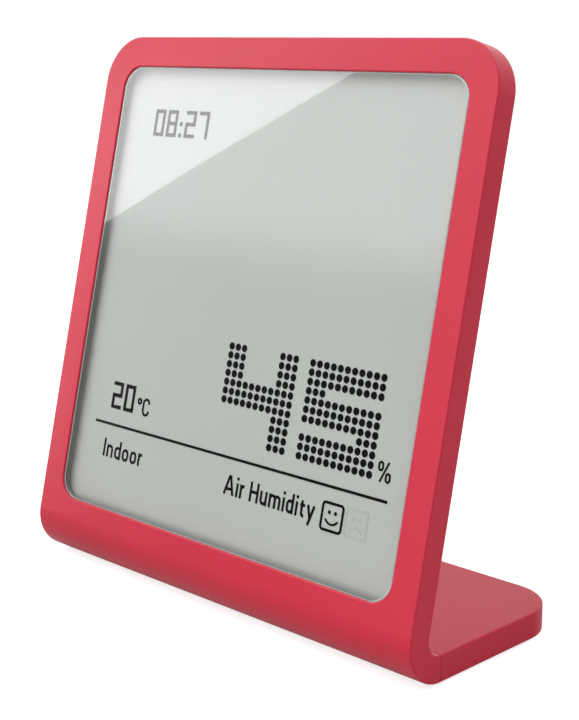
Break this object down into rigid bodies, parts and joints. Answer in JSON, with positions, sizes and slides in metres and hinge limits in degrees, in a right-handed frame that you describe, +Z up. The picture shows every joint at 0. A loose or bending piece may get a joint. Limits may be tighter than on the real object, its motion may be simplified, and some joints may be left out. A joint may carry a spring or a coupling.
{
  "type": "temperature humidity sensor",
  "caption": "Desk thermo-hygrometer with a leaning framed display on a bent one-piece style case with a flat foot, a coin cell door below and set buttons in the rear edge.",
  "frame": {"origin": "on the resting surface, under the middle of the case's width and depth", "axes": "+Z up, +Y towards the back, away from the display, +X to the viewer's right"},
  "size_m": [0.09, 0.0398, 0.0958],
  "materials": {
    "red_plastic": "satin moulded plastic, coral red",
    "foot_rubber": "soft black rubber",
    "clear_lens": "clear polished acrylic",
    "display_glass": "thin clear glass",
    "polariser_film": "grey green film",
    "reflector_film": "pale grey green diffuse reflector",
    "dark_mark": "dark display mark",
    "idle_mark": "faint display mark",
    "tape": "thin adhesive tape",
    "foam": "soft closed foam",
    "flex_film": "amber film with copper tracks",
    "board_laminate": "green solder mask",
    "pale_plastic": "ivory moulded plastic",
    "black_plastic": "black moulded plastic",
    "ceramic_chip": "tan ceramic",
    "bright_metal": "bright plated steel"
  },
  "bodies": {
    "case": {"front_frame": "red_plastic", "back_cover": "red_plastic", "foot_shell": "red_plastic", "foot_cover": "red_plastic", "rubber_feet": "foot_rubber", "cover_lens": "clear_lens", "lens_tape": "tape", "front_polariser": "polariser_film", "front_glass": "display_glass", "cell_seal": "tape", "humidity_digits": "dark_mark", "clock_digits": "dark_mark", "temperature_digits": "dark_mark", "divider_rule": "dark_mark", "unit_signs": "dark_mark", "comfort_icon_on": "dark_mark", "comfort_icon_off": "idle_mark", "rear_glass": "display_glass", "reflector": "reflector_film", "foam_pad": "foam", "display_flex": "flex_film", "flex_connector": "pale_plastic", "main_board": "board_laminate", "controller_chip": "black_plastic", "clock_crystal": "bright_metal", "small_components": "ceramic_chip", "humidity_sensor": "pale_plastic", "coin_cell": "bright_metal", "positive_contact": "bright_metal", "negative_contact": "bright_metal", "switch_bodies": "bright_metal", "cover_screws": "bright_metal", "lug_screws": "bright_metal"},
    "door": {"battery_door": "red_plastic"},
    "set_key": {"set_button": "red_plastic", "set_plunger": "black_plastic"},
    "plus_key": {"plus_button": "red_plastic", "plus_plunger": "black_plastic"},
    "minus_key": {"minus_button": "red_plastic", "minus_plunger": "black_plastic"}
  },
  "joints": [
    {"name": "battery_door_turn", "type": "hinge", "parent": "case", "child": "door", "pos_m": [-0.023, 0.00375, 0.0009], "axis": [0, 0, 1], "range_deg": [0, 60]},
    {"name": "set_button_press", "type": "slide", "parent": "case", "child": "set_key", "axis": [0, -1, 0], "range_m": [0, 0.0003], "stiffness_N_per_m": 1500},
    {"name": "plus_button_press", "type": "slide", "parent": "case", "child": "plus_key", "axis": [0, -1, 0], "range_m": [0, 0.0003], "stiffness_N_per_m": 1500},
    {"name": "minus_button_press", "type": "slide", "parent": "case", "child": "minus_key", "axis": [0, -1, 0], "range_m": [0, 0.0003], "stiffness_N_per_m": 1500}
  ]
}
